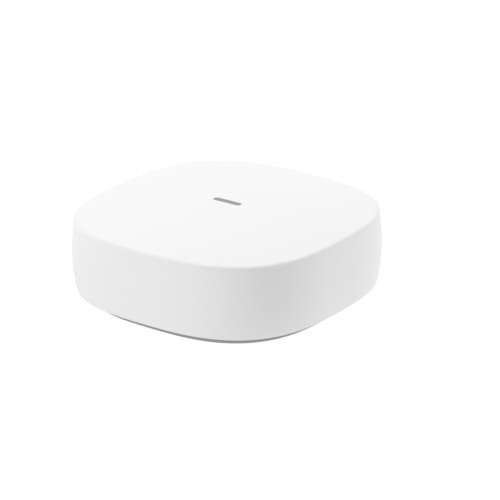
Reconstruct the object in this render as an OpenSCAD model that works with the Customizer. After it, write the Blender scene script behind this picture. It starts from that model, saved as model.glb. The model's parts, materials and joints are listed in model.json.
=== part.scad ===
// Smart home hub: a rounded-square puck with a domed cover, a set-back base and rear sockets.
// Millimetres, +Z up, the sockets face +Y. The origin is under the middle of the feet.

/* [Casing] */
// Width and depth of the cover across its flat sides
body_w = 120; // [114:1:130]
// Height of the cover's side wall, from its lower edge to its rim
wall_h = 32.1; // [31:0.1:36]
// Rise of the domed top above the rim
dome_h = 4.4; // [3:0.1:6]
// Squareness of the outline, where 2 is a circle
squareness = 2.83; // [2.7:0.01:3.1]
// How far the wall leans in at the rim, from its widest level
rim_inset = 1.1; // [0.6:0.1:1.6]
// How far the wall leans in at its lower edge, from its widest level
skirt_inset = 1.55; // [1:0.05:1.8]
// Height of the widest level above the cover's lower edge
belly_h = 15; // [13:0.5:17]
// Length of the soft rounding on each side of the rim
rim_round = 1.5; // [0.8:0.1:1.8]
// Thickness of the cover's wall and roof
cover_t = 2.2; // [2:0.1:2.4]

/* [Base] */
// Visible height of the base below the cover's lower edge
plinth_h = 4.1; // [3.8:0.1:4.4]
// How far the base is set in from the cover's lower edge
plinth_inset = 5.9; // [5.6:0.1:6.1]
// Thickness of the base's floor
floor_t = 2; // [1.8:0.1:2.2]
// How far the feet stand out below the base
foot_proud = 0.7; // [0.5:0.1:0.9]
// Radius of each foot
foot_r = 5.5; // [5:0.1:6]
// Distance of each case screw from the middle, in X and in Y
boss_xy = 36; // [35:0.5:36.5]

/* [Rear recess] */
// Width of the recess that the sockets sit in
recess_w = 60.2; // [60:0.1:61]
// Height of the recess
recess_h = 15.6; // [15.4:0.1:16]
// Distance from the widest level of the wall in to the socket panel
recess_d = 8; // [7.5:0.1:8.5]
// Corner radius of the recess
recess_r = 2; // [1.5:0.1:2.5]
// Thickness of the socket panel
panel_t = 2; // [1.8:0.1:2]

/* [Sockets] */
// Position of the power inlet across the panel
inlet_x = -24; // [-24.5:0.1:-23]
// Position of the network jack across the panel
jack_x = -7; // [-7.5:0.1:-6.5]
// Position of the USB port across the panel
usb_x = 12.5; // [12:0.1:13]
// Position of the connect button across the panel
button_x = 25.5; // [25:0.1:26]
// Radius of the connect button
button_r = 2.4; // [2:0.1:2.6]
// Travel of the connect button
button_travel = 0.5; // [0.3:0.1:0.5]

/* [Status light] */
// Length of the status lens
lens_l = 14; // [12:0.5:16]
// Width of the status lens
lens_w = 3; // [2.6:0.1:3.4]

/* [Electronics] */
// Height of the posts that carry the board, above the base's floor
post_h = 5.8; // [5.8:0.1:6]
// Thickness of the board
board_t = 1.6; // [1.2:0.1:1.6]
// Side of the square shield over the processor
shield_w = 30; // [28:1:31]

/* [Hidden] */

$fn = 48;
eps = 0.02;          // overlap that makes two shapes one solid
sides = 80;          // straight sides of the rounded-square outline

body_a = body_w / 2;
base_z = foot_proud;
floor_z = base_z + floor_t;
skirt_z = base_z + plinth_h;
rim_z = skirt_z + wall_h;
top_z = rim_z + dome_h;
rim_a = body_a - rim_inset;
skirt_a = body_a - skirt_inset;
plinth_a = skirt_a - plinth_inset;

seat_gap = 0.2;      // gap between the base's flange and the cover's inner wall
flange_t = 2;        // thickness of the base's flange
flange_a = skirt_a - cover_t - seat_gap;
lip_t = 1.5;         // thickness of the upstand that centres the cover
lip_h = 3;           // its height above the flange
lip_z = skirt_z + flange_t + lip_h;

boss_r = 4;          // cover bosses and the base's posts under them
boss_z = skirt_z + 5.1;        // where boss and post meet
boss_top = roof_z(boss_xy * pow(2, 1 / squareness)) - cover_t / 2;   // in the roof over it
pilot_r = 1.5;       // case screw's pilot bore
screw_hole_r = 1.7;  // clearance hole in the base
foot_t = 1.5;
foot_pocket = foot_t - foot_proud;
head_r = 2.7;        // case screw head
head_h = 1.8;

board_z = floor_z + post_h;
board_top = board_z + board_t;
board_a = body_a - 7.5;
board_rear = body_a - 11;
board_post_x = 44;
board_post_y = 22;
board_bore_r = 1.1;

panel_y = body_a - recess_d;
tub_t = 1.4;         // wall of the recess
tub_gap = 0.15;      // gap between the recess and the cover's opening
tub_w = recess_w + 2 * tub_t;
tub_h = recess_h + 2 * tub_t;
recess_z = board_top + 7.1;      // middle of the recess
tub_edge_a = body_a - 1.2;       // the recess's outer edge follows the cover, just inside it

jack_w = 16;
jack_h = 13.5;
jack_d = 21.3;
jack_wall = 0.4;
socket_w = 11.8;     // mouth of the network jack
socket_h = 8.2;
socket_d = 13;
socket_z = board_top + 3;        // floor of the mouth
usb_w = 13.2;
usb_h = 5.8;
usb_d = 14;
usb_wall = 0.35;
usb_z = board_top + 0.4;
inlet_w = 9;
inlet_h = 11;
inlet_d = 12.2;
inlet_z = board_top + 6.5;       // axis of the power inlet
inlet_bore_r = 3;
inlet_pin_r = 1.05;
inlet_barrel_r = 4.2;
button_z = board_top + 4.2;
button_gap = 0.08;
plunger_r = 1.2;

shield_x = -28;
shield_y = -2;
shield_h = 3.2;
shield_wall = 0.3;
lens_z = top_z - 0.08;           // the lens is flush with the roof at its ends
tunnel_wall = 1;

// ---- outlines and shared shapes ----

// Distance from the widest level's outline in to the wall, at a height above the skirt
function wall_inset(h) = h > belly_h
    ? rim_inset * pow((h - belly_h) / (wall_h - belly_h), 2)
    : skirt_inset * pow((belly_h - h) / belly_h, 2);

// Height of the roof where the outline's half-width has shrunk to a
function roof_z(a) = rim_z + dome_h * (1 - pow(a / rim_a, 2));

// Points of the rounded-square outline of half-width a
function outline(a) = [for (i = [0 : sides - 1])
    let (t = 360 * i / sides,
         reach = pow(pow(abs(cos(t)), squareness) + pow(abs(sin(t)), squareness), 1 / squareness))
    [a * cos(t) / reach, a * sin(t) / reach]];

// A point on the curve that leaves one point and reaches another, drawn towards a corner
function round_point(from, corner, to, t) =
    pow(1 - t, 2) * from + 2 * t * (1 - t) * corner + pow(t, 2) * to;

// A plain slab of the rounded-square outline
module slab(a, z_low, z_high) {
    translate([0, 0, z_low]) linear_extrude(z_high - z_low) polygon(outline(a));
}

// A closed skin through rings of [half-width, height]: up the outside, over the top, and back
// down the inside, with a point on the axis above and below the roof
module skin(outer, inner, roof_top, roof_under) {
    rings = concat(outer, inner);
    count = len(rings);
    points = concat(
        [for (ring = rings) for (p = outline(ring[0])) [p[0], p[1], ring[1]]],
        [[0, 0, roof_top], [0, 0, roof_under]]);
    last_outer = len(outer) - 1;
    faces = concat(
        [for (j = [0 : count - 1]) if (j != last_outer) for (i = [0 : sides - 1])
            let (up = (j + 1) % count, next = (i + 1) % sides)
            [j * sides + i, up * sides + i, up * sides + next, j * sides + next]],
        [for (i = [0 : sides - 1])
            [last_outer * sides + i, count * sides, last_outer * sides + (i + 1) % sides]],
        [for (i = [0 : sides - 1]) let (first = (last_outer + 1) * sides)
            [count * sides + 1, first + i, first + (i + 1) % sides]]);
    polyhedron(points, faces, convexity = 4);
}

// A block centred on x and y that stands on z
module block(x, y, z, w, d, h) {
    translate([x - w / 2, y - d / 2, z]) cube([w, d, h]);
}

// A bar with round ends, lying along X
module pill(length, width, height) {
    linear_extrude(height) {
        square([length - width, width], center = true);
        for (side = [-1, 1]) translate([side * (length - width) / 2, 0]) circle(width / 2);
    }
}

// A rectangle with round corners
module soft_rectangle(w, h, r) {
    square([w - 2 * r, h], center = true);
    square([w, h - 2 * r], center = true);
    for (x = [-1, 1]) for (y = [-1, 1]) translate([x * (w / 2 - r), y * (h / 2 - r)]) circle(r);
}

// A soft rectangle seen from the rear, extruded from y_low to y_high
module rear_prism(x, z, w, h, r, y_low, y_high) {
    translate([x, y_high, z]) rotate([90, 0, 0]) linear_extrude(y_high - y_low)
        soft_rectangle(w, h, r);
}

// A cylinder along Y
module rear_rod(x, z, r, y_low, y_high) {
    translate([x, y_high, z]) rotate([90, 0, 0]) cylinder(y_high - y_low, r = r);
}

// Copies at the four case screws
module at_bosses() {
    for (x = [-1, 1]) for (y = [-1, 1]) translate([x * boss_xy, y * boss_xy, 0]) children();
}

// Copies at the four board screws
module at_board_posts() {
    for (x = [-1, 1]) for (y = [-1, 1]) translate([x * board_post_x, y * board_post_y, 0])
        children();
}

// ---- casing ----

module top_cover() {
    wall_low = rim_z - rim_round;
    wall_point = [body_a - wall_inset(wall_h - rim_round), wall_low];
    roof_point = [rim_a - rim_round, roof_z(rim_a - rim_round)];
    outer = concat(
        [for (h = [0, 3.5, 8, belly_h, 21, 27]) [body_a - wall_inset(h), skirt_z + h]],
        [for (t = [0 : 0.25 : 1]) round_point(wall_point, [rim_a, rim_z], roof_point, t)],
        [for (part = [0.82, 0.6, 0.3]) [rim_a * part, roof_z(rim_a * part)]]);
    inner = concat(
        [for (part = [0.3, 0.6, 0.82, 0.94]) [rim_a * part, roof_z(rim_a * part) - cover_t]],
        [for (h = [29, belly_h, 0]) [body_a - wall_inset(h) - cover_t, skirt_z + h]]);
    color("white") difference() {
        union() {
            skin(outer, inner, top_z, top_z - cover_t);
            at_bosses() translate([0, 0, boss_z])
                cylinder(boss_top - boss_z, r = boss_r);
        }
        rear_prism(0, recess_z, tub_w + 2 * tub_gap, tub_h + 2 * tub_gap,
            recess_r + tub_t + tub_gap, panel_y - 2, body_a + 1);
        translate([0, 0, top_z - 4]) pill(lens_l + 0.2, lens_w + 0.2, 5);
        at_bosses() translate([0, 0, boss_z - eps]) cylinder(18, r = pilot_r);
    }
}

module base_plate() {
    lip_inner_a = flange_a - lip_t;
    color("dimgray") difference() {
        union() {
            difference() {
                union() {
                    slab(plinth_a, base_z, skirt_z + eps);
                    slab(flange_a, skirt_z, lip_z);
                }
                slab(plinth_a - floor_t, floor_z, skirt_z + flange_t + eps);
                slab(lip_inner_a, skirt_z + flange_t, lip_z + 1);
                block(0, body_a, skirt_z + flange_t, tub_w + 3, 30, 10);
            }
            at_bosses() translate([0, 0, floor_z - eps])
                cylinder(boss_z - floor_z + eps, r = boss_r);
            at_board_posts() translate([0, 0, floor_z - eps]) cylinder(post_h + eps, r = 3);
        }
        at_bosses() {
            translate([0, 0, base_z - 1]) cylinder(foot_pocket + 1, r = foot_r + 0.1);
            translate([0, 0, base_z]) cylinder(foot_pocket + head_h + 0.1, r = head_r + 0.15);
            translate([0, 0, base_z]) cylinder(boss_z, r = screw_hole_r);
        }
        at_board_posts() translate([0, 0, floor_z]) cylinder(post_h + 1, r = board_bore_r);
        translate([0, 0, base_z - 1]) linear_extrude(1.2) soft_rectangle(46.4, 28.4, 2.2);
    }
}

module port_panel() {
    color("whitesmoke") difference() {
        union() {
            difference() {
                intersection() {
                    rear_prism(0, recess_z, tub_w, tub_h, recess_r + tub_t,
                        panel_y - panel_t, body_a);
                    slab(tub_edge_a, base_z, rim_z);
                }
                rear_prism(0, recess_z, recess_w, recess_h, recess_r, panel_y, body_a + 1);
            }
            for (x = [-24, 24]) block(x, panel_y, skirt_z + flange_t, 6, 2 * panel_t - 1,
                recess_z - tub_h / 2 - skirt_z - flange_t + tub_t / 2);
        }
        block(jack_x, panel_y, board_top - 0.2, jack_w + 0.4, 10, jack_h + 0.4);
        block(usb_x, panel_y, usb_z - 0.2, usb_w + 0.4, 10, usb_h + 0.4);
        rear_rod(inlet_x, inlet_z, inlet_barrel_r + 0.15, panel_y - 5, panel_y + 5);
        rear_rod(button_x, button_z, button_r + button_gap, panel_y - 5, panel_y + 5);
    }
}

module rubber_feet() {
    color("darkslategray") at_bosses() cylinder(foot_t, r = foot_r);
}

module rating_label() {
    color("silver") translate([0, 0, base_z + 0.05]) linear_extrude(0.15)
        soft_rectangle(46, 28, 2);
}

module case_screws() {
    head_z = base_z + foot_pocket + 0.1;
    color("silver") at_bosses() difference() {
        union() {
            translate([0, 0, head_z]) cylinder(head_h, r = head_r);
            translate([0, 0, head_z]) cylinder(18, r = pilot_r - 0.05);
        }
        for (turn = [0, 90]) rotate(turn) block(0, 0, head_z - eps, 2.8, 0.6, 1);
    }
}

// ---- status light ----

module status_lens() {
    color("darkgray") {
        translate([0, 0, lens_z - 2.8]) pill(lens_l, lens_w, 2.8);
        translate([0, 0, lens_z - 3.3]) pill(lens_l + 3, lens_w + 3, 1);
    }
}

module light_tunnel() {
    tunnel_h = lens_z - 3.3 - board_top;
    color("white") translate([0, 0, board_top]) difference() {
        pill(lens_l + 2 * tunnel_wall, lens_w + 2 * tunnel_wall, tunnel_h);
        translate([0, 0, -1]) pill(lens_l, lens_w, tunnel_h + 2);
    }
}

module status_leds() {
    color("ivory") for (x = [-4.5, 0, 4.5]) block(x, 0, board_top, 1.6, 1.6, 0.7);
}

// ---- main board and what stands on it ----

module main_board() {
    color("darkgreen") difference() {
        slab(board_a, board_z, board_top);
        block(0, board_rear + 10, board_z - 1, body_w, 20, board_t + 2);
        at_bosses() translate([0, 0, board_z - 1]) cylinder(board_t + 2, r = boss_r + 0.8);
        at_board_posts() translate([0, 0, board_z - 1]) cylinder(board_t + 2, r = 1.4);
    }
}

module board_screws() {
    color("silver") at_board_posts() difference() {
        union() {
            translate([0, 0, board_top]) cylinder(1.5, r = 2.5);
            translate([0, 0, floor_z + 0.5]) cylinder(board_top - floor_z, r = board_bore_r - 0.05);
        }
        for (turn = [0, 90]) rotate(turn) block(0, 0, board_top + 0.7, 2.6, 0.6, 1);
    }
}

module processor() {
    color("black") block(shield_x - 3, shield_y - 3, board_top, 14, 14, 1.3);
}

module memory_chip() {
    color("black") block(shield_x + 9, shield_y - 2, board_top, 8, 12, 1);
}

module flash_chip() {
    color("black") block(shield_x - 3, shield_y + 9.5, board_top, 8, 6, 0.9);
}

module thermal_pad() {
    pad_z = board_top + 1.3;
    color("lightblue") block(shield_x - 3, shield_y - 3, pad_z, 14, 14,
        shield_h - shield_wall - 1.3);
}

module processor_shield() {
    inner_w = shield_w - 2 * shield_wall;
    color("silver") difference() {
        block(shield_x, shield_y, board_top, shield_w, shield_w, shield_h);
        block(shield_x, shield_y, board_top - 1, inner_w, inner_w, shield_h - shield_wall + 1);
    }
}

module spreader_pad() {
    color("lightblue") block(shield_x, shield_y, board_top + shield_h, 20, 20, 0.5);
}

module heat_spreader() {
    plate_z = board_top + shield_h + 0.5;
    color("gainsboro") {
        block(shield_x, shield_y, plate_z, shield_w + 4, shield_w + 4, 1);
        for (side = [-1, 1]) block(shield_x + side * (shield_w / 2 + 1.6), shield_y,
            board_top + 0.4, 0.8, shield_w + 4, shield_h + 0.2);
    }
}

// A radio module: a small board with a can on it
module radio_module(x, y, w, d) {
    block(x, y, board_top, w, d, 0.8);
    block(x, y - 1, board_top + 0.8 - eps, w - 2, d - 4, 1.8);
}

module lan_module() {
    color("silver") radio_module(28, 12, 16, 14);
}

module mesh_module() {
    color("silver") radio_module(28, -10, 14, 12);
}

module sub_ghz_module() {
    color("silver") radio_module(-14, -34, 15, 12);
}

antenna_x = body_a - 9.5;        // where the side antennas stand
antenna_y = body_a - 9.5;        // where the front antenna stands
antenna_t = 0.8;
antenna_h = 13;

module lan_antenna() {
    color("darkgreen") block(antenna_x, 10, board_top, antenna_t, 24, antenna_h);
}

module mesh_antenna() {
    color("darkgreen") block(0, -antenna_y, board_top, 36, antenna_t, antenna_h);
}

module sub_ghz_antenna() {
    color("darkgreen") block(-antenna_x, 0, board_top, antenna_t, 26, antenna_h);
}

// A meander of copper on the inner face of an antenna board, running along X
module trace(length, count) {
    pitch = length / count;
    for (i = [0 : count - 1]) {
        block((i - (count - 1) / 2) * pitch, 0, 1.5, 1, 0.1, antenna_h - 3);
        if (i < count - 1) block((i - (count - 2) / 2) * pitch, 0,
            i % 2 == 0 ? antenna_h - 2.5 : 1.5, pitch, 0.1, 1);
    }
}

module antenna_traces() {
    face = antenna_t / 2 + 0.05;
    color("peru") {
        translate([0, face - antenna_y, board_top]) trace(32, 9);
        translate([antenna_x - face, 10, board_top]) rotate(90) trace(20, 5);
        translate([face - antenna_x, 0, board_top]) rotate(90) trace(22, 7);
    }
}

plug_z = board_top + 0.8;
lead_r = 0.6;
lead_z = plug_z + 0.75;
lead_bend = 3;

// A plug that a coaxial lead leaves sideways
module coax_plug(x, y) {
    translate([x, y, plug_z]) cylinder(1.5, r = 1.3);
}

module coax_plugs() {
    color("gold") {
        coax_plug(28, 17.6);
        coax_plug(28, -5.4);
        coax_plug(-14, -29.4);
    }
}

// A lead that runs along X, turns a quarter bend and runs on along Y
module coax_lead(start, corner, finish_y) {
    x_way = sign(corner[0] - start[0]);
    y_way = sign(finish_y - corner[1]);
    bend_start = x_way > 0 ? (y_way > 0 ? -90 : 0) : (y_way > 0 ? 180 : 90);
    translate([start[0], start[1], lead_z]) rotate([0, x_way * 90, 0])
        cylinder(abs(corner[0] - start[0]) - lead_bend, r = lead_r);
    translate([corner[0] - x_way * lead_bend, corner[1] + y_way * lead_bend, lead_z])
        rotate(bend_start) rotate_extrude(angle = 90) translate([lead_bend, 0]) circle(lead_r);
    translate([corner[0], corner[1] + y_way * lead_bend, lead_z])
        rotate([-y_way * 90, 0, 0])
        cylinder(abs(finish_y - corner[1]) - lead_bend, r = lead_r);
}

module coax_leads() {
    color("black") {
        coax_lead([29.3, 17.6], [antenna_x - 1.4, 17.6], 6);
        coax_lead([26.7, -5.4], [14, -5.4], 1.4 - antenna_y);
        coax_lead([-15.3, -29.4], [2.2 - antenna_x, -29.4], -10);
    }
}

module power_inductor() {
    color("dimgray") difference() {
        block(-32, 25, board_top, 7, 7, 4);
        translate([-32, 25, board_top + 3.7]) cylinder(1, r = 2.6);
    }
}

module bulk_capacitors() {
    color("lightsteelblue") for (spot = [[-21, 31], [-21, 23.5], [8, 30]])
        translate([spot[0], spot[1], board_top]) {
            block(0, 0, 0, 6.6, 6.6, 1);
            cylinder(7.7, r = 3.15);
        }
}

module regulator_chips() {
    color("black") {
        block(-38, 19, board_top, 5, 4, 1.5);
        block(14, 22, board_top, 5, 4, 1.5);
        block(26, -32, board_top, 6, 6, 1);
    }
}

module crystals() {
    color("silver") {
        block(-6, 12, board_top, 3.2, 2.5, 0.8);
        block(4, -12, board_top, 3.2, 2.5, 0.8);
        block(-2, -30, board_top, 3.2, 2.5, 0.8);
    }
}

// ---- network jack ----

module network_jack_shield() {
    color("silver") difference() {
        translate([jack_x - jack_w / 2, panel_y + 0.3 - jack_d, board_top])
            cube([jack_w, jack_d, jack_h]);
        translate([jack_x - jack_w / 2 + jack_wall, panel_y - jack_d + 0.3 + jack_wall,
            board_top + jack_wall])
            cube([jack_w - 2 * jack_wall, jack_d + 1, jack_h - 2 * jack_wall]);
    }
}

module network_jack_insert() {
    gap = 0.05;
    w = jack_w - 2 * (jack_wall + gap);
    h = jack_h - 2 * (jack_wall + gap);
    d = jack_d - jack_wall - 0.3;
    color("black") difference() {
        translate([jack_x - w / 2, panel_y - d, board_top + jack_wall + gap]) cube([w, d, h]);
        block(jack_x, panel_y, socket_z, socket_w, 2 * socket_d, socket_h);
        block(jack_x, panel_y, socket_z - 1.2, 6, 2 * socket_d, 2);
        block(jack_x, panel_y, socket_z - 2, 3.2, 2 * socket_d, 2);
        for (side = [-1, 1]) block(jack_x + side * 5.8, panel_y, board_top + 0.7, 3, 2, 1.8);
    }
}

module network_jack_contacts() {
    pitch = 1.02;
    count = 8;
    color("gold") for (i = [0 : count - 1])
        translate([jack_x + (i - (count - 1) / 2) * pitch, panel_y - socket_d + 0.4,
            socket_z + socket_h - 2.3]) rotate([15, 0, 0])
            translate([-0.2, 0, 0]) cube([0.4, 8, 0.3]);
}

module network_jack_lights() {
    color("gold") for (side = [-1, 1])
        block(jack_x + side * 5.8, panel_y - 0.4, board_top + 0.75, 2.9, 0.9, 1.7);
}

module network_transformer() {
    color("black") block(jack_x, 21, board_top, 16.5, 9.5, 5.8);
}

// ---- USB port ----

module usb_port_shell() {
    color("silver") difference() {
        translate([usb_x - usb_w / 2, panel_y + 0.3 - usb_d, usb_z]) cube([usb_w, usb_d, usb_h]);
        translate([usb_x - usb_w / 2 + usb_wall, panel_y + 0.3 - usb_d + 1, usb_z + usb_wall])
            cube([usb_w - 2 * usb_wall, usb_d, usb_h - 2 * usb_wall]);
    }
}

module usb_port_tongue() {
    gap = 0.05;
    w = usb_w - 2 * (usb_wall + gap);
    h = usb_h - 2 * (usb_wall + gap);
    back_y = panel_y + 0.3 - usb_d + 1;
    color("black") {
        translate([usb_x - w / 2, back_y + gap, usb_z + usb_wall + gap]) cube([w, 3, h]);
        translate([usb_x - 5.55, back_y + 3, usb_z + usb_h - 2.9]) cube([11.1, 8.8, 1.8]);
    }
}

module usb_port_contacts() {
    tip_y = panel_y - 2.4;
    color("gold") for (x = [-3.5, -1, 1, 3.5])
        translate([usb_x + x - 0.5, tip_y - 7, usb_z + usb_h - 3.05]) cube([1, 7, 0.15]);
}

// ---- power inlet ----

module dc_jack_body() {
    block_y = panel_y - panel_t - 0.1;
    bore_d = 9.5;
    color("black") difference() {
        union() {
            translate([inlet_x - inlet_w / 2, block_y - inlet_d, board_top])
                cube([inlet_w, inlet_d, inlet_h]);
            rear_rod(inlet_x, inlet_z, inlet_barrel_r, block_y - 1, panel_y + 0.2);
        }
        rear_rod(inlet_x, inlet_z, inlet_bore_r, panel_y + 0.2 - bore_d, panel_y + 1);
        rear_rod(inlet_x, inlet_z, inlet_pin_r, panel_y - 16, panel_y);
    }
}

module dc_jack_pin() {
    color("gold") rear_rod(inlet_x, inlet_z, inlet_pin_r - eps, panel_y - 14.2, panel_y - 0.8);
}

module dc_jack_terminals() {
    back_y = panel_y - panel_t - 0.1 - inlet_d;
    color("silver") for (x = [-2.6, 2.6]) block(inlet_x + x, back_y - 0.3, board_top, 2, 0.5, 6);
}

// ---- connect button and its switch ----

flange_y = panel_y - panel_t - 0.05;     // where the button rests against the panel
stem_y = panel_y - 5.4;
plunger_gap = 0.05;
switch_y = panel_y - 7.4;                // front face of the switch body
plunger_tail = 1.6;
plunger_clear = 0.06;

module connect_button() {
    color("lightgray") {
        rear_rod(button_x, button_z, button_r, flange_y - eps, panel_y + 0.6);
        rear_rod(button_x, button_z, button_r + 1.2, flange_y - 1.2, flange_y);
        rear_rod(button_x, button_z, 1.6, stem_y, flange_y - 1.2 + eps);
    }
}

module switch_plunger() {
    color("black") rear_rod(button_x, button_z, plunger_r, switch_y - plunger_tail,
        stem_y - plunger_gap);
}

module switch_body() {
    color("silver") difference() {
        translate([button_x - 3.5, switch_y - 3.6, board_top])
            cube([7, 3.6, button_z - board_top + 3.2]);
        rear_rod(button_x, button_z, plunger_r + plunger_clear,
            switch_y - plunger_tail - button_travel - 0.2, switch_y + 1);
    }
}

top_cover();
base_plate();
port_panel();
status_lens();
light_tunnel();
status_leds();
main_board();
processor();
memory_chip();
flash_chip();
thermal_pad();
processor_shield();
spreader_pad();
heat_spreader();
lan_module();
mesh_module();
sub_ghz_module();
lan_antenna();
mesh_antenna();
sub_ghz_antenna();
antenna_traces();
coax_plugs();
coax_leads();
network_jack_shield();
network_jack_insert();
network_jack_contacts();
network_jack_lights();
network_transformer();
usb_port_shell();
usb_port_tongue();
usb_port_contacts();
dc_jack_body();
dc_jack_pin();
dc_jack_terminals();
connect_button();
switch_body();
switch_plunger();
power_inductor();
bulk_capacitors();
regulator_chips();
crystals();
board_screws();
case_screws();
rubber_feet();
rating_label();
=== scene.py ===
"""Smart home hub: a white rounded-square puck with a domed cover and a set-back grey base.

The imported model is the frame. The operators here make the cover new, round the edges of the
parts that show, give every part its material and set up the studio.
"""

import json
import math
from contextlib import contextmanager

import bmesh
import bpy
from bpy.props import FloatProperty, FloatVectorProperty, IntProperty, PointerProperty
from mathutils import Matrix, Vector

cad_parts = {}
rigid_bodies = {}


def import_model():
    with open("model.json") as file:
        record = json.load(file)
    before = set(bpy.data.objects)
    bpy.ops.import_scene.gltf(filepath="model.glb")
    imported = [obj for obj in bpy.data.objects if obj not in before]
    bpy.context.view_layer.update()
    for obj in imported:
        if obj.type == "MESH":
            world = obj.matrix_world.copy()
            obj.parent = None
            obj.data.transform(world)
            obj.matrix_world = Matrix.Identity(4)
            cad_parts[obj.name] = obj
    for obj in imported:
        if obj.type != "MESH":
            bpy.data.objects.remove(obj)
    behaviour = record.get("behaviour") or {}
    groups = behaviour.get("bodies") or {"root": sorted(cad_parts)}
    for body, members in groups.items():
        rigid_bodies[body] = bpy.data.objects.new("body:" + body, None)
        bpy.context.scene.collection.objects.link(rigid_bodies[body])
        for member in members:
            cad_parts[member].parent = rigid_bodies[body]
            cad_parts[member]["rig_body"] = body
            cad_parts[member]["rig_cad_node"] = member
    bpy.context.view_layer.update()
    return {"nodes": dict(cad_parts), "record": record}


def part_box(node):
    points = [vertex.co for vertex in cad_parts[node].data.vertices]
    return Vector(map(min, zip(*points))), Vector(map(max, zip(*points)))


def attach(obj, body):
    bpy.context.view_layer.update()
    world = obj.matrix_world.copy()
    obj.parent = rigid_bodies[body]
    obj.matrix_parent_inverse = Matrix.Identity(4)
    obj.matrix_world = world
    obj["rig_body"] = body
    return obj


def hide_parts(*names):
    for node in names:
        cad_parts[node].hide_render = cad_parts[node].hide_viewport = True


bl_info = {
    "name": "Smart Home Hub",
    "version": (1, 0, 0),
    "blender": (4, 5, 0),
    "location": "View3D > Sidebar > Hub",
    "description": "Builds the finish of a smart home hub round its packed model",
    "category": "Object",
}

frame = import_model()

MM = 0.001
COVER_LOW, COVER_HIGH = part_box("top_cover")
BASE_LOW, BASE_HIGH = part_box("base_plate")
PANEL_LOW, PANEL_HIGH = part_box("port_panel")
LENS_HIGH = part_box("status_lens")[1]
BOARD_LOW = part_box("main_board")[0]
LABEL_LOW, LABEL_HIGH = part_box("rating_label")
LENS_FLANGE = 1.5 * MM  # hidden under the roof, all round the lens's face
LENS_FACE_X, LENS_FACE_Y = LENS_HIGH.x - LENS_FLANGE, LENS_HIGH.y - LENS_FLANGE
BOSS_RADIUS = 4 * MM  # the cover's screw bosses and the base's under them
BOSS_SEAM = COVER_LOW.z + 5.1 * MM  # where the two meet
FLANGE_THICKNESS = 2 * MM  # the base's flange, inside the cover's lower edge
REACH = MM  # how far a cutter goes past the face that it cuts
MERGE_DISTANCE = 1e-6
FLAT_ANGLE, SHARP_ANGLE, CASING_SHARP_ANGLE = (math.radians(a) for a in (0.5, 30, 35))
SLOT_OF_NODE = {row["node"]: row["material_slot"] for row in frame["record"]["subparts"]}
BODY_OF_NODE = {
    node: body
    for body, nodes in frame["record"]["behaviour"]["bodies"].items()
    for node in nodes
}


def linear(hex_colour):
    """An sRGB hex colour as linear red, green, blue and alpha."""
    parts = [int(hex_colour[i : i + 2], 16) / 255 for i in (1, 3, 5)]
    shades = [c / 12.92 if c <= 0.04045 else ((c + 0.055) / 1.055) ** 2.4 for c in parts]
    return (*shades, 1.0)


def length(name, description, default):
    """A size that the user may change, in metres."""
    return FloatProperty(
        name=name, description=description, default=default, min=0, subtype="DISTANCE",
        unit="LENGTH", precision=5,
    )


def colour(name, description, hex_colour):
    """A colour that the user may change."""
    return FloatVectorProperty(
        name=name, description=description, default=linear(hex_colour), size=4, min=0, max=1,
        subtype="COLOR",
    )


def watts(name, description, default):
    """The power of a light."""
    return FloatProperty(name=name, description=description, default=default, min=0, unit="POWER")


# ---- settings ----


class HubCasing(bpy.types.PropertyGroup):
    """Sizes of the cover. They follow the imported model."""

    half_width: length("Half width", "Half the width across flat sides", COVER_HIGH.x)
    wall_height: length("Wall height", "Lower edge to rim", 32.1 * MM)
    rim_inset: length("Rim inset", "How far the wall leans in at the rim", 1.1 * MM)
    skirt_inset: length("Skirt inset", "How far it leans in at the lower edge", 1.55 * MM)
    belly_height: length("Belly height", "Lower edge to the widest level", 15 * MM)
    rim_round: length("Rim rounding", "Length of the rounding on each side", 1.5 * MM)
    thickness: length("Thickness", "Thickness of wall and roof", 2.2 * MM)
    base_width: length("Base half width", "Half the width of the set-back base", 52.55 * MM)
    base_round: length("Base edge", "Rounding of the base's lower edge", 0.12 * MM)
    recess_height: length("Recess height", "Outer height of the socket recess", 18.4 * MM)
    recess_corner: length("Recess corner", "Corner radius of the cover's opening", 3.55 * MM)
    cut_edge: length("Cut edges", "Rounding of the edges round the cover's cut-outs", 0.25 * MM)
    boss_spread: length("Screw spread", "Case screws' distance from the middle", 36 * MM)
    squareness: FloatProperty(
        name="Squareness", description="Exponent of the outline, 2 is a circle",
        default=2.83, min=2, max=6,
    )
    outline_points: IntProperty(
        name="Outline points", description="Points round the outline", default=192, min=48,
        max=512,
    )


class HubColours(bpy.types.PropertyGroup):
    """Colours of the parts that show."""

    cover: colour("Cover", "White ABS of the cover", "#EDEDED")
    base: colour("Base", "Grey ABS of the base", "#A3A4A6")
    panel: colour("Socket panel", "Pale grey ABS behind the sockets", "#D5D6D7")
    lens: colour("Lens", "Smoked acrylic of the status lens", "#9A9A9B")
    button: colour("Button", "Grey ABS of the connect button", "#8C8E90")
    foot: colour("Feet", "Dark rubber of the feet", "#3A3B3D")
    socket: colour("Sockets", "Black PBT of the sockets", "#232427")


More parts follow.
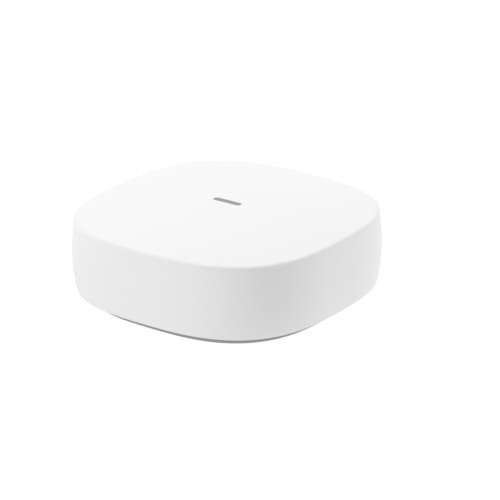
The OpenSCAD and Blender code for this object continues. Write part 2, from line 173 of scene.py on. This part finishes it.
class HubStage(bpy.types.PropertyGroup):
    """Camera and light."""

    azimuth: FloatProperty(
        name="Azimuth", description="Camera's turn round the hub from its front",
        default=math.radians(36.60), subtype="ANGLE",
    )
    elevation: FloatProperty(
        name="Elevation", description="Camera's height above the horizon",
        default=math.radians(21.52), subtype="ANGLE",
    )
    distance: length("Distance", "Camera to the middle of the hub", 1.105)
    aim_height: length("Aim height", "Height that the camera looks at", 19 * MM)
    aim_turn: FloatProperty(
        name="Aim turn", description="How far the camera looks to the right of the hub",
        default=math.radians(0.496), subtype="ANGLE",
    )
    roll: FloatProperty(
        name="Roll", description="Turn of the hub in the picture, anticlockwise",
        default=math.radians(0.41), subtype="ANGLE",
    )
    focal_length: FloatProperty(
        name="Focal length", description="Camera's focal length in millimetres",
        default=186.2, min=20,
    )
    room_light: FloatProperty(
        name="Room light", description="Light from all round", default=0.42, min=0
    )
    floor_glow: FloatProperty(
        name="Floor glow", description="Light that the lit floor gives off", default=1.0, min=0
    )
    top_light: watts("Top light", "Soft light high over the rear left", 3.15)
    key_light: watts("Key light", "Soft light at the front left", 3.8)
    edge_light: watts("Edge light", "Soft light at the rear right", 3.85)


# ---- modelling by hand, in code ----


def activate(piece):
    """Selects one piece alone and makes it active."""
    bpy.ops.object.select_all(action="DESELECT")
    piece.select_set(True)
    bpy.context.view_layer.objects.active = piece


@contextmanager
def editing(piece, mode="EDGE"):
    """Edit mode on one piece, with nothing selected at the start."""
    activate(piece)
    bpy.ops.object.mode_set(mode="EDIT")
    bpy.ops.mesh.select_mode(type=mode)
    bpy.ops.mesh.select_all(action="DESELECT")
    yield
    bpy.ops.object.mode_set(mode="OBJECT")


def middle(element):
    """Middle of an edge or a face."""
    points = [v.co for v in element.verts]
    return sum(points, Vector()) / len(points)


def pick(piece, kind, test):
    """Selects the edges or faces for which test is true, by their middle and themselves."""
    mesh = bmesh.from_edit_mesh(piece.data)
    for element in getattr(mesh, kind):
        element.select_set(bool(test(middle(element), element)))
    bmesh.update_edit_mesh(piece.data)


def new_piece(name):
    """Names the primitive that was just added and puts its place into its mesh."""
    piece = bpy.context.object
    piece.name = name
    piece.data.name = name
    activate(piece)
    bpy.ops.object.transform_apply(location=True, rotation=True, scale=True)
    return piece


def soft_bar(name, low, high, axis, radius, segments=10):
    """A bar between two corners whose edges along one axis are rounded."""
    centre = (Vector(low) + Vector(high)) / 2
    bpy.ops.mesh.primitive_cube_add(size=1, location=centre, scale=Vector(high) - Vector(low))
    bar = new_piece(name)
    with editing(bar):
        pick(bar, "edges", lambda _, e: abs((e.verts[0].co - e.verts[1].co)[axis]) > 1e-5)
        bpy.ops.mesh.bevel(offset=radius, segments=segments, affect="EDGES")
    return bar


def carve(piece, cutter, operation="DIFFERENCE"):
    """Cuts a piece with a cutter, or joins the two, and removes the cutter."""
    activate(piece)
    boolean = piece.modifiers.new("carve", "BOOLEAN")
    boolean.operation = operation
    boolean.solver = "EXACT"
    boolean.object = cutter
    bpy.ops.object.modifier_apply(modifier=boolean.name)
    bpy.data.objects.remove(cutter)


def rods(name, radius, low, high, spots, sides=64):
    """Upright cylinders of one size, one at each spot, as one piece."""
    for x, y in spots:
        bpy.ops.mesh.primitive_cylinder_add(
            vertices=sides, radius=radius, depth=high - low, location=(x, y, (low + high) / 2)
        )
        rod = new_piece(name)
        rod["rod"] = True
    made = [piece for piece in bpy.data.objects if "rod" in piece]
    for piece in made:
        piece.select_set(True)
        del piece["rod"]
    bpy.ops.object.join()
    return bpy.context.object


def four_corners(x, y):
    """A spot in each quarter."""
    return [(side * x, end * y) for side in (-1, 1) for end in (-1, 1)]


def smooth(piece, sharp=SHARP_ANGLE):
    """Smooth shading in which large faces stay flat and only the roundings shade softly."""
    activate(piece)
    bpy.ops.object.shade_smooth_by_angle(angle=sharp)
    weighted = piece.modifiers.new("weighted", "WEIGHTED_NORMAL")
    weighted.keep_sharp = True
    bpy.ops.object.modifier_apply(modifier=weighted.name)


def dress(piece, *nodes):
    """Gives a finished piece the body, slot and material of the CAD nodes it stands for."""
    slot = SLOT_OF_NODE[nodes[0]]
    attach(piece, BODY_OF_NODE[nodes[0]])
    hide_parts(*nodes)
    piece.data.materials.clear()
    piece.data.materials.append(finish_of(slot))


def soften(node, name, width):
    """Copies a CAD part, merges it and rounds its sharp edges over by a width in mm."""
    activate(frame["nodes"][node])
    bpy.ops.object.duplicate()
    piece = bpy.context.object
    piece.parent = None
    piece.matrix_world = Matrix.Identity(4)
    piece.name = name
    piece.data.name = name
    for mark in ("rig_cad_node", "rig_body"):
        del piece[mark]
    with editing(piece):
        bpy.ops.mesh.select_all(action="SELECT")
        bpy.ops.mesh.remove_doubles(threshold=MERGE_DISTANCE)
        bpy.ops.mesh.dissolve_limited(angle_limit=FLAT_ANGLE)
        bpy.ops.mesh.select_all(action="DESELECT")
        bpy.ops.mesh.edges_select_sharp(sharpness=SHARP_ANGLE)
        # One segment below 0.1 mm, two below 0.2 mm, and three above.
        bpy.ops.mesh.bevel(
            offset=width * MM, segments=1 + min(2, int(width * 10)), affect="EDGES",
            clamp_overlap=True,
        )
    smooth(piece)
    dress(piece, node)


def soften_all(pieces):
    """Softens each CAD part of a table of node, new name and edge width."""
    for node, (name, width) in pieces.items():
        soften(node, name, width)


# ---- materials ----


def add(tree, kind, settings=(), **links):
    """Adds a node, sets its inputs and options, and links its inputs to other outputs."""
    node = tree.nodes.new(kind)
    for name, value in dict(settings).items():
        if name in node.inputs:
            node.inputs[name].default_value = value
        else:
            setattr(node, name, value)
    for name, output in links.items():
        tree.links.new(output, node.inputs[name.replace("_", " ")])
    return node


DRIFT_SIZE = 25 * MM  # how far apart a moulding's or sheet's paler and darker spots lie
ROUGHNESS_DRIFT = 0.04


def surface(name, shade, roughness, grain, bump, mottle=0.03, **shader):
    """A material with a fine grain in its bump and a slow drift in colour and roughness."""
    material = bpy.data.materials.new(name)
    material.use_nodes = True
    tree = material.node_tree
    tree.nodes.clear()
    place = add(tree, "ShaderNodeTexCoord").outputs["Object"]
    fine = add(tree, "ShaderNodeTexNoise", {"Scale": 1 / grain, "Detail": 2.0}, Vector=place)
    drift = add(
        tree, "ShaderNodeTexNoise", {"Scale": 1 / DRIFT_SIZE, "Detail": 3.0}, Vector=place
    )
    darker = [c * (1 - mottle) for c in shade[:3]]
    tone = add(tree, "ShaderNodeMix", {"data_type": "RGBA"})
    tone.inputs[6].default_value = (*darker, 1)
    tone.inputs[7].default_value = shade
    tree.links.new(drift.outputs["Fac"], tone.inputs["Factor"])
    rough = add(
        tree, "ShaderNodeMapRange",
        {"To Min": roughness - ROUGHNESS_DRIFT, "To Max": roughness + ROUGHNESS_DRIFT},
        Value=drift.outputs["Fac"],
    )
    relief = add(
        tree, "ShaderNodeBump", {"Strength": bump, "Distance": grain / 4},
        Height=fine.outputs["Fac"],
    )
    principled = add(
        tree, "ShaderNodeBsdfPrincipled", shader, Base_Color=tone.outputs[2],
        Roughness=rough.outputs["Result"], Normal=relief.outputs["Normal"],
    )
    add(tree, "ShaderNodeOutputMaterial", Surface=principled.outputs["BSDF"])
    return material


def cover_abs():
    """White ABS from a spark-eroded mould: matt, with a faint even grain and no gloss."""
    # The real grain is about 0.1 mm; it is drawn at 0.35 mm so that it can show at all.
    shade = bpy.context.scene.hub_colours.cover
    return surface(
        "white spark-textured ABS", shade, 0.65, 0.35 * MM, 0.12, 0.012,
        **{"IOR": 1.53, "Specular IOR Level": 0.25},
    )


def base_abs():
    """Grey ABS with a coarser mould texture, matt enough to hide scuffs."""
    shade = bpy.context.scene.hub_colours.base
    return surface("grey textured ABS", shade, 0.6, 0.4 * MM, 0.3, 0.06, IOR=1.53)


def panel_abs():
    """Pale grey ABS with a fine mould texture."""
    shade = bpy.context.scene.hub_colours.panel
    return surface("pale grey ABS", shade, 0.5, 0.35 * MM, 0.15, 0.03, IOR=1.53)


def lens_acrylic():
    """Smoked acrylic with a satin face, so the lights behind it look soft."""
    shade = bpy.context.scene.hub_colours.lens
    return surface("smoked satin acrylic", shade, 0.3, 0.3 * MM, 0.03, 0.03, IOR=1.49)


def button_abs():
    """Grey ABS, smoother than the base because fingers polish it."""
    shade = bpy.context.scene.hub_colours.button
    return surface("grey satin ABS", shade, 0.4, 0.3 * MM, 0.08, 0.04, IOR=1.53)


def foot_rubber():
    """Moulded silicone rubber: dark, dull and slightly dusty."""
    shade = bpy.context.scene.hub_colours.foot
    return surface("dark silicone rubber", shade, 0.8, 0.3 * MM, 0.25, 0.15, IOR=1.43)


def socket_pbt():
    """Black glass-filled PBT: near-black with a low sheen."""
    shade = bpy.context.scene.hub_colours.socket
    return surface("black moulded PBT", shade, 0.42, 0.25 * MM, 0.15, 0.2, IOR=1.6)


def baffle_abs():
    """Plain white ABS, natural finish, as inner parts are left."""
    return surface("plain white ABS", linear("#E9E9E4"), 0.45, 0.4 * MM, 0.05, IOR=1.53)


def led_resin():
    """Clear epoxy over a warm white LED package."""
    return surface("LED epoxy", linear("#E8E2BE"), 0.15, 0.2 * MM, 0.02, IOR=1.54)


def solder_mask():
    """Green solder mask over glass-fibre board: glossy, with the weave just under it."""
    return surface("green solder mask", linear("#0F4A2B"), 0.25, 0.5 * MM, 0.15, 0.2, IOR=1.55)


def chip_epoxy():
    """Black moulding compound of chips: flat black with fine filler grain."""
    return surface("black moulding epoxy", linear("#1B1B1D"), 0.55, 0.2 * MM, 0.25, 0.2)


def silicone_pad():
    """Filled silicone heat pad: soft grey-blue and slightly tacky."""
    return surface("grey silicone pad", linear("#8E9CA6"), 0.7, 0.4 * MM, 0.3, 0.1, IOR=1.43)


def tinned_steel():
    """Tin-plated steel sheet: pale grey, dull bright, faint rolling marks."""
    return surface("tin-plated steel", linear("#BFC0BE"), 0.34, 0.5 * MM, 0.06, 0.1, Metallic=1.0)


def pressed_aluminium():
    """Mill-finish aluminium sheet: pale and satin."""
    return surface("mill aluminium", linear("#CFD0D2"), 0.4, 0.5 * MM, 0.08, 0.08, Metallic=1.0)


def copper_track():
    """Bare copper track with a light tarnish."""
    return surface("bare copper", linear("#C77B4B"), 0.35, 0.3 * MM, 0.08, 0.25, Metallic=1.0)


def gold_plate():
    """Thin gold plating over nickel on contacts: warm and bright."""
    return surface("gold plate", linear("#D9B45A"), 0.2, 0.3 * MM, 0.03, 0.1, Metallic=1.0)


def lead_sheath():
    """Black fluoropolymer sheath of the coaxial leads."""
    return surface("black FEP sheath", linear("#1A1A1B"), 0.35, 0.3 * MM, 0.05, 0.15, IOR=1.34)


def nickel_plate():
    """Bright nickel plating on pressed steel socket shells."""
    return surface("bright nickel plate", linear("#C9C5BB"), 0.24, 0.4 * MM, 0.04, 0.1, Metallic=1.0)


def light_window():
    """Clear polycarbonate light window in the jack, unlit and slightly milky."""
    return surface("milky polycarbonate", linear("#B9BE9C"), 0.2, 0.3 * MM, 0.02, IOR=1.58)


def ferrite():
    """Pressed ferrite of the inductor: dark grey and grainy."""
    return surface("pressed ferrite", linear("#3B3C3E"), 0.6, 0.25 * MM, 0.4, 0.25)


def capacitor_can():
    """Drawn aluminium can of the capacitors, bright with a clear sleeve."""
    return surface("drawn aluminium", linear("#C9CDD2"), 0.25, 0.4 * MM, 0.04, 0.08, Metallic=1.0)


def zinc_steel():
    """Zinc-plated screw steel with a cool grey shine."""
    return surface("zinc-plated steel", linear("#A9ABAE"), 0.35, 0.3 * MM, 0.1, 0.15, Metallic=1.0)


def lit_sheet(glow):
    """Opal acrylic sheet lit from below: it glows evenly and takes almost no shadow."""
    return surface(
        "lit opal acrylic", linear("#383838"), 0.8, 2 * MM, 0.02, 0.02,
        **{
            "Emission Color": (1, 1, 1, 1), "Emission Strength": glow,
            "Specular IOR Level": 0.0,
        },
    )


def label_film():
    """Blank silver polyester label with a satin varnish."""
    return surface("silver polyester film", linear("#C4C6C8"), 0.4, 0.4 * MM, 0.03, 0.04, IOR=1.5)


FINISHES = {
    "cover_white": cover_abs,
    "base_grey": base_abs,
    "panel_grey": panel_abs,
    "lens_grey": lens_acrylic,
    "baffle_white": baffle_abs,
    "led_body": led_resin,
    "circuit_board": solder_mask,
    "chip_black": chip_epoxy,
    "thermal_pad": silicone_pad,
    "tinned_steel": tinned_steel,
    "spreader_aluminium": pressed_aluminium,
    "copper_trace": copper_track,
    "contact_gold": gold_plate,
    "lead_black": lead_sheath,
    "nickel_shell": nickel_plate,
    "socket_black": socket_pbt,
    "jack_light": light_window,
    "button_grey": button_abs,
    "ferrite_grey": ferrite,
    "capacitor_aluminium": capacitor_can,
    "screw_steel": zinc_steel,
    "foot_rubber": foot_rubber,
    "label_silver": label_film,
}
made_finishes = {}


def finish_of(slot):
    """The material of a slot, made once."""
    if slot not in made_finishes:
        made_finishes[slot] = FINISHES[slot]()
    return made_finishes[slot]


# ---- the cover ----


def wall_inset(casing, height):
    """Distance from the widest level's outline in to the wall."""
    if height > casing.belly_height:
        share = (height - casing.belly_height) / (casing.wall_height - casing.belly_height)
        return casing.rim_inset * share**2
    return casing.skirt_inset * (1 - height / casing.belly_height) ** 2


def round_point(start, corner, end, t):
    """A point on the curve from start to end that a corner draws out."""
    return (1 - t) ** 2 * Vector(start) + 2 * t * (1 - t) * Vector(corner) + t * t * Vector(end)


def cover_rings(casing):
    """Half-width and height of each ring: the roof's underside, wall, outside and top."""
    skirt = COVER_LOW.z
    rim = skirt + casing.wall_height
    rim_a = casing.half_width - casing.rim_inset
    dome = COVER_HIGH.z - rim

    def roof(a):
        return rim + dome * (1 - (a / rim_a) ** 2)

    def wall(height, inward=0.0):
        return (casing.half_width - wall_inset(casing, height) - inward, skirt + height)

    wall_steps, inner_steps, round_steps, roof_steps, lip_round = 22, 8, 8, 18, 0.25 * MM
    # The roof's underside ends short of the wall, and a chamfer leads from one to the other.
    inner_a = rim_a - casing.thickness - 1.2 * MM
    inner_wall = casing.wall_height - 4 * MM
    inside = [
        (inner_a * i / roof_steps, roof(inner_a * i / roof_steps) - casing.thickness)
        for i in range(1, roof_steps + 1)
    ]
    inside += [
        wall(inner_wall * (1 - i / inner_steps), casing.thickness) for i in range(inner_steps)
    ]
    lip_in, lip_out = wall(0, casing.thickness), wall(0)
    inside += [
        (lip_in[0], skirt + lip_round), (lip_in[0] + lip_round, skirt),
        (lip_out[0] - lip_round, skirt), (lip_out[0], skirt + lip_round),
    ]
    top_of_wall = casing.wall_height - casing.rim_round
    outside = [wall(top_of_wall * i / wall_steps) for i in range(1, wall_steps)]
    roof_start = rim_a - casing.rim_round
    outside += [
        tuple(round_point(
            (*wall(top_of_wall), 0), (rim_a, rim, 0), (roof_start, roof(roof_start), 0),
            i / round_steps,
        )[:2])
        for i in range(round_steps + 1)
    ]
    outside += [
        (roof_start * i / roof_steps, roof(roof_start * i / roof_steps))
        for i in range(roof_steps - 1, 0, -1)
    ]
    return inside + outside


def outline_reach(point, squareness):
    """How far short of the unit outline a point on the unit circle falls."""
    direction = point.normalized()
    total = abs(direction.x) ** squareness + abs(direction.y) ** squareness
    return total ** (-1 / squareness)


def spun_shell(name, rings, casing):
    """A closed skin drawn up from a circle: pulled to the outline, then extruded ring by ring."""
    start_a, start_z = rings[0]
    bpy.ops.mesh.primitive_circle_add(
        vertices=casing.outline_points, radius=start_a, fill_type="TRIFAN",
        location=(0, 0, start_z),
    )
    shell = new_piece(name)
    for vertex in shell.data.vertices:
        flat = vertex.co.to_2d()
        if flat.length > 0:
            vertex.co.xy = flat * outline_reach(flat, casing.squareness)
    with editing(shell):
        pick(shell, "edges", lambda _, e: len(e.link_faces) == 1)
        for (a, z), (next_a, next_z) in zip(rings, rings[1:]):
            bpy.ops.mesh.extrude_edges_move(TRANSFORM_OT_translate={"value": (0, 0, next_z - z)})
            bpy.ops.transform.resize(
                value=(next_a / a, next_a / a, 1), center_override=(0, 0, next_z)
            )
        bpy.ops.mesh.extrude_edges_move()
        bpy.ops.mesh.merge(type="CENTER")
        bpy.ops.mesh.select_all(action="SELECT")
        bpy.ops.mesh.normals_make_consistent(inside=False)
    return shell


class HUB_OT_cover(bpy.types.Operator):
    """Cover: the white moulded shell with its domed roof, rear opening and lens slot"""

    bl_idname = "hub.cover"
    bl_label = "Cover"

    def execute(self, context):
        casing = context.scene.hub_casing
        panel_gap, lens_gap = 0.15 * MM, 0.1 * MM
        pilot_radius, pilot_depth = 1.5 * MM, 18 * MM
        cover = spun_shell("cover", cover_rings(casing), casing)
        spots = four_corners(casing.boss_spread, casing.boss_spread)
        boss_top = COVER_LOW.z + casing.wall_height - casing.thickness / 2
        carve(cover, rods("bosses", BOSS_RADIUS, BOSS_SEAM, boss_top, spots), "UNION")
        pilots = rods(
            "pilots", pilot_radius, BOSS_SEAM - REACH, BOSS_SEAM + pilot_depth, spots, 32
        )
        carve(cover, pilots)

        opening_low = Vector((
            PANEL_LOW.x - panel_gap, PANEL_LOW.y - 2 * REACH,
            PANEL_HIGH.z - casing.recess_height - panel_gap,
        ))
        opening_high = Vector((
            PANEL_HIGH.x + panel_gap, COVER_HIGH.y + REACH, PANEL_HIGH.z + panel_gap
        ))
        carve(cover, soft_bar("opening", opening_low, opening_high, 1, casing.recess_corner))
        slot_half = Vector((LENS_FACE_X + lens_gap, LENS_FACE_Y + lens_gap, 0))
        slot_low = Vector((0, 0, COVER_HIGH.z - 4 * REACH)) - slot_half
        slot_high = Vector((0, 0, COVER_HIGH.z + REACH)) + slot_half
        # Just under half the width, so that the round ends keep a sliver of straight end.
        carve(cover, soft_bar("slot", slot_low, slot_high, 2, slot_half.y * 0.998))

        corner_angle, lens_area = math.radians(40), 9 * MM
        roof_cut, rear_cut = COVER_HIGH.z - 0.3 * MM, PANEL_HIGH.y - 4.5 * MM

        def on_outer_cut(where, edge):
            if not edge.is_manifold or edge.calc_face_angle() < corner_angle:
                return False
            if where.to_2d().length < lens_area:
                return where.z > roof_cut
            within_height = opening_low.z - REACH < where.z < opening_high.z + REACH
            return (
                within_height and where.y > rear_cut and abs(where.x) < opening_high.x + REACH
            )

        with editing(cover):
            pick(cover, "edges", on_outer_cut)
            bpy.ops.mesh.bevel(
                offset=casing.cut_edge, segments=3, affect="EDGES", clamp_overlap=True
            )
        smooth(cover, CASING_SHARP_ANGLE)
        dress(cover, "top_cover")
        return {"FINISHED"}


# ---- the rest of the casing ----


def base_rings(casing):
    """Half-width and height of each ring: the underside, the wall, the flange and the floor."""
    low, high = BASE_LOW.z, BASE_HIGH.z
    floor_thickness, lip_thickness, fine, corner_steps = 2 * MM, 1.5 * MM, 0.15 * MM, 4
    flange_low, flange_high = COVER_LOW.z, COVER_LOW.z + FLANGE_THICKNESS
    flange_a, lip_a = BASE_HIGH.x, BASE_HIGH.x - lip_thickness
    edge, rounding = casing.base_width, casing.base_round
    floor_high, inner = low + floor_thickness, edge - floor_thickness
    # Rings across the flat underside and floor keep their faces short.
    near_middle, halfway, outside = 15 * MM, 35 * MM, 45 * MM
    corner = [
        round_point(
            (edge - rounding, low, 0), (edge, low, 0), (edge, low + rounding, 0),
            i / corner_steps,
        )
        for i in range(corner_steps + 1)
    ]
    return (
        [(near_middle, low), (halfway, low), (outside, low)]
        + [(point.x, point.y) for point in corner]
        + [
            (edge, flange_low - fine), (edge + fine, flange_low), (flange_a - fine, flange_low),
            (flange_a, flange_low + fine), (flange_a, high - fine), (flange_a - fine, high),
            (lip_a + fine, high), (lip_a, high - fine), (lip_a, flange_high),
            (inner, flange_high), (inner, floor_high), (halfway, floor_high),
            (near_middle, floor_high),
        ]
    )


class HUB_OT_base(bpy.types.Operator):
    """Base: the grey tray under the cover, with its posts, foot pockets and label recess"""

    bl_idname = "hub.base"
    bl_label = "Base"

    def execute(self, context):
        casing = context.scene.hub_casing
        low, floor, post_top = BASE_LOW.z, BASE_LOW.z + 1.9 * MM, BOARD_LOW.z
        corners = four_corners(casing.boss_spread, casing.boss_spread)
        posts = four_corners(44 * MM, 22 * MM)
        base = spun_shell("base", base_rings(casing), casing)
        for name, radius, spots, top in (
            ("bosses", BOSS_RADIUS, corners, BOSS_SEAM),
            ("posts", 3 * MM, posts, post_top),
        ):
            carve(base, rods(name, radius, floor, top, spots), "UNION")
        for name, radius, spots, bottom, top, sides in (
            ("foot_pockets", 5.6 * MM, corners, low - REACH, low + 0.8 * MM, 64),
            ("screw_heads", 2.85 * MM, corners, low - REACH, low + 2.7 * MM, 48),
            ("screw_holes", 1.7 * MM, corners, low - REACH, BOSS_SEAM + REACH, 32),
            ("pilots", 1.1 * MM, posts, floor + 0.1 * MM, post_top + REACH, 32),
        ):
            carve(base, rods(name, radius, bottom, top, spots, sides))

        label_gap, label_depth, label_corner = Vector((0.2 * MM, 0.2 * MM, 0)), 0.2 * MM, 2.2 * MM
        recess_low = Vector((LABEL_LOW.x, LABEL_LOW.y, low - REACH)) - label_gap
        recess_high = Vector((LABEL_HIGH.x, LABEL_HIGH.y, low + label_depth)) + label_gap
        carve(base, soft_bar("label_recess", recess_low, recess_high, 2, label_corner))
        notch_x, notch_depth = PANEL_HIGH.x + 1.5 * MM, 15 * MM
        notch_low = (-notch_x, COVER_HIGH.y - notch_depth, COVER_LOW.z + FLANGE_THICKNESS)
        notch_high = (notch_x, COVER_HIGH.y, BASE_HIGH.z + REACH)
        carve(base, soft_bar("rear_notch", notch_low, notch_high, 2, 0.5 * MM, 3))

        underside, mouth_angle, mouth_rounding = low + 0.01 * MM, math.radians(60), 0.08 * MM
        with editing(base):
            pick(
                base, "edges",
                lambda where, edge: edge.is_manifold and where.z < underside
                and edge.calc_face_angle() > mouth_angle,
            )
            bpy.ops.mesh.bevel(
                offset=mouth_rounding, segments=2, affect="EDGES", clamp_overlap=True
            )
        smooth(base, CASING_SHARP_ANGLE)
        dress(base, "base_plate")
        return {"FINISHED"}


# Each table gives a node's new piece and the rounding of its edges in millimetres. The thin
# walls of the jack's moulding take no more than its 0.06.
CASING_PIECES = {
    "port_panel": ("socket_panel", 0.25),
    "rubber_feet": ("feet", 0.3),
    "status_lens": ("status_light_lens", 0.1),
    "rating_label": ("blank_label", 0.02),
}
SOCKET_PIECES = {
    "network_jack_shield": ("network_jack_can", 0.08),
    "network_jack_insert": ("network_jack_moulding", 0.06),
    "network_jack_lights": ("network_jack_windows", 0.1),
    "network_jack_contacts": ("network_jack_springs", 0.05),
    "usb_port_shell": ("usb_port_can", 0.08),
    "usb_port_tongue": ("usb_port_moulding", 0.1),
    "usb_port_contacts": ("usb_port_springs", 0.03),
    "dc_jack_body": ("power_inlet", 0.25),
    "dc_jack_pin": ("power_inlet_pin", 0.3),
    "dc_jack_terminals": ("power_inlet_tails", 0.05),
}
BUTTON_PIECES = {
    "connect_button": ("button", 0.3),
    "switch_plunger": ("switch_stem", 0.1),
    "switch_body": ("switch_case", 0.1),
}
INNER_PIECES = {
    "light_tunnel": ("light_baffle", 0.1),
    "status_leds": ("led_packages", 0.05),
    "main_board": ("circuit_board", 0.05),
    "processor": ("processor_package", 0.08),
    "memory_chip": ("memory_package", 0.08),
    "flash_chip": ("flash_package", 0.08),
    "thermal_pad": ("processor_heat_pad", 0.2),
    "processor_shield": ("processor_can", 0.1),
    "spreader_pad": ("spreader_heat_pad", 0.15),
    "heat_spreader": ("heat_plate", 0.2),
    "lan_module": ("lan_radio", 0.1),
    "mesh_module": ("mesh_radio", 0.1),
    "sub_ghz_module": ("sub_ghz_radio", 0.1),
    "lan_antenna": ("lan_aerial", 0.05),
    "mesh_antenna": ("mesh_aerial", 0.05),
    "sub_ghz_antenna": ("sub_ghz_aerial", 0.05),
    "coax_plugs": ("aerial_plugs", 0.15),
    "network_transformer": ("isolating_transformer", 0.2),
    "power_inductor": ("inductor", 0.3),
    "bulk_capacitors": ("capacitors", 0.3),
    "regulator_chips": ("regulators", 0.08),
    "crystals": ("crystal_cans", 0.1),
    "board_screws": ("board_fixings", 0.15),
    "case_screws": ("case_fixings", 0.15),
}


class HUB_OT_casing(bpy.types.Operator):
    """Socket panel, feet, lens and label, with their edges rounded over"""

    bl_idname = "hub.casing"
    bl_label = "Panel, feet and lens"

    def execute(self, context):
        soften_all(CASING_PIECES)
        return {"FINISHED"}


class HUB_OT_sockets(bpy.types.Operator):
    """Network jack, USB port and power inlet"""

    bl_idname = "hub.sockets"
    bl_label = "Sockets"

    def execute(self, context):
        soften_all(SOCKET_PIECES)
        return {"FINISHED"}


class HUB_OT_button(bpy.types.Operator):
    """Connect button and the switch behind it"""

    bl_idname = "hub.button"
    bl_label = "Button and switch"

    def execute(self, context):
        soften_all(BUTTON_PIECES)
        return {"FINISHED"}


class HUB_OT_inside(bpy.types.Operator):
    """Board, chips, radios, aerials and screws, and a finish for what stays as it was"""

    bl_idname = "hub.inside"
    bl_label = "Inner parts"

    def execute(self, context):
        soften_all(INNER_PIECES)
        for node, part in frame["nodes"].items():
            if not part.hide_render:
                part.data.materials.clear()
                part.data.materials.append(finish_of(SLOT_OF_NODE[node]))
        return {"FINISHED"}


# ---- the studio ----


# Each light's turn round the hub from its front, to its right, and its height, in degrees.
LIGHT_PLACES = {"top_light": (240, 60), "key_light": (330, 45), "edge_light": (150, 30)}
LIGHT_DISTANCE, LIGHT_WIDTH = 1, 0.5
FLOOR_WIDTH, SENSOR_WIDTH, NEAREST_SEEN = 12, 36, 0.05


def soft_light(name, power):
    """A half-metre soft light, one metre away, that faces the hub and isn't seen itself."""
    place = round_place(*LIGHT_PLACES[name], LIGHT_DISTANCE)
    bpy.ops.object.light_add(type="AREA", location=place)
    light = bpy.context.object
    light.name = name
    light.data.energy = power
    light.data.size = LIGHT_WIDTH
    light.rotation_euler = (-place).to_track_quat("-Z", "Y").to_euler()
    light.visible_camera = False


def round_place(azimuth, elevation, distance):
    """A place round the hub: azimuth from its front, to its right, in degrees."""
    a, e = math.radians(azimuth), math.radians(elevation)
    flat = math.cos(e) * distance
    return Vector((math.sin(a) * flat, -math.cos(a) * flat, math.sin(e) * distance))


class HUB_OT_stage(bpy.types.Operator):
    """White floor, soft lights and the camera"""

    bl_idname = "hub.stage"
    bl_label = "Stage"

    def execute(self, context):
        stage = context.scene.hub_stage
        bpy.ops.mesh.primitive_plane_add(size=FLOOR_WIDTH)
        floor = new_piece("floor")
        with editing(floor, "FACE"):
            bpy.ops.mesh.select_all(action="SELECT")
            bpy.ops.mesh.subdivide(number_cuts=3)
        floor.data.materials.append(lit_sheet(stage.floor_glow))

        world = bpy.data.worlds.new("studio")
        context.scene.world = world
        world.use_nodes = True
        backdrop = world.node_tree.nodes["Background"]
        backdrop.inputs["Color"].default_value = (1, 1, 1, 1)
        backdrop.inputs["Strength"].default_value = stage.room_light

        for name in LIGHT_PLACES:
            soft_light(name, getattr(stage, name))

        bpy.ops.object.camera_add()
        camera = context.object
        camera.data.lens = stage.focal_length
        camera.data.sensor_width = SENSOR_WIDTH
        back = round_place(math.degrees(stage.azimuth), math.degrees(stage.elevation), 1)
        right = Vector((math.cos(stage.azimuth), math.sin(stage.azimuth), 0))
        up = back.cross(right)
        turn = Matrix.Rotation(-stage.aim_turn, 3, up) @ Matrix.Rotation(-stage.roll, 3, back)
        axes = Matrix((turn @ right, turn @ up, turn @ back)).transposed()
        place = back * stage.distance + Vector((0, 0, stage.aim_height))
        camera.matrix_world = Matrix.Translation(place) @ axes.to_4x4()
        camera.data.clip_start = NEAREST_SEEN
        context.scene.camera = camera
        context.scene.view_settings.view_transform = "Standard"
        return {"FINISHED"}


class HUB_PT_panel(bpy.types.Panel):
    """Lists the hub's settings and the steps that build it"""

    bl_idname = "HUB_PT_panel"
    bl_label = "Smart Home Hub"
    bl_space_type = "VIEW_3D"
    bl_region_type = "UI"
    bl_category = "Hub"

    def draw(self, context):
        for group in (
            context.scene.hub_casing, context.scene.hub_colours, context.scene.hub_stage
        ):
            box = self.layout.box()
            for name in group.__annotations__:
                box.prop(group, name)
        for operator in OPERATORS:
            self.layout.operator(operator.bl_idname)


SETTINGS = {"hub_casing": HubCasing, "hub_colours": HubColours, "hub_stage": HubStage}
OPERATORS = (
    HUB_OT_stage, HUB_OT_cover, HUB_OT_base, HUB_OT_casing, HUB_OT_sockets, HUB_OT_button,
    HUB_OT_inside,
)


def register():
    """Registers the settings, steps and panel."""
    for name, group in SETTINGS.items():
        bpy.utils.register_class(group)
        setattr(bpy.types.Scene, name, PointerProperty(type=group))
    for kind in (*OPERATORS, HUB_PT_panel):
        bpy.utils.register_class(kind)


def unregister():
    """Removes them again."""
    for kind in reversed((*OPERATORS, HUB_PT_panel)):
        bpy.utils.unregister_class(kind)
    for name, group in SETTINGS.items():
        delattr(bpy.types.Scene, name)
        bpy.utils.unregister_class(group)


def main():
    """Builds everything."""
    register()
    bpy.ops.hub.stage()
    bpy.ops.hub.cover()
    bpy.ops.hub.base()
    bpy.ops.hub.casing()
    bpy.ops.hub.sockets()
    bpy.ops.hub.button()
    bpy.ops.hub.inside()


if __name__ == "__main__":
    main()
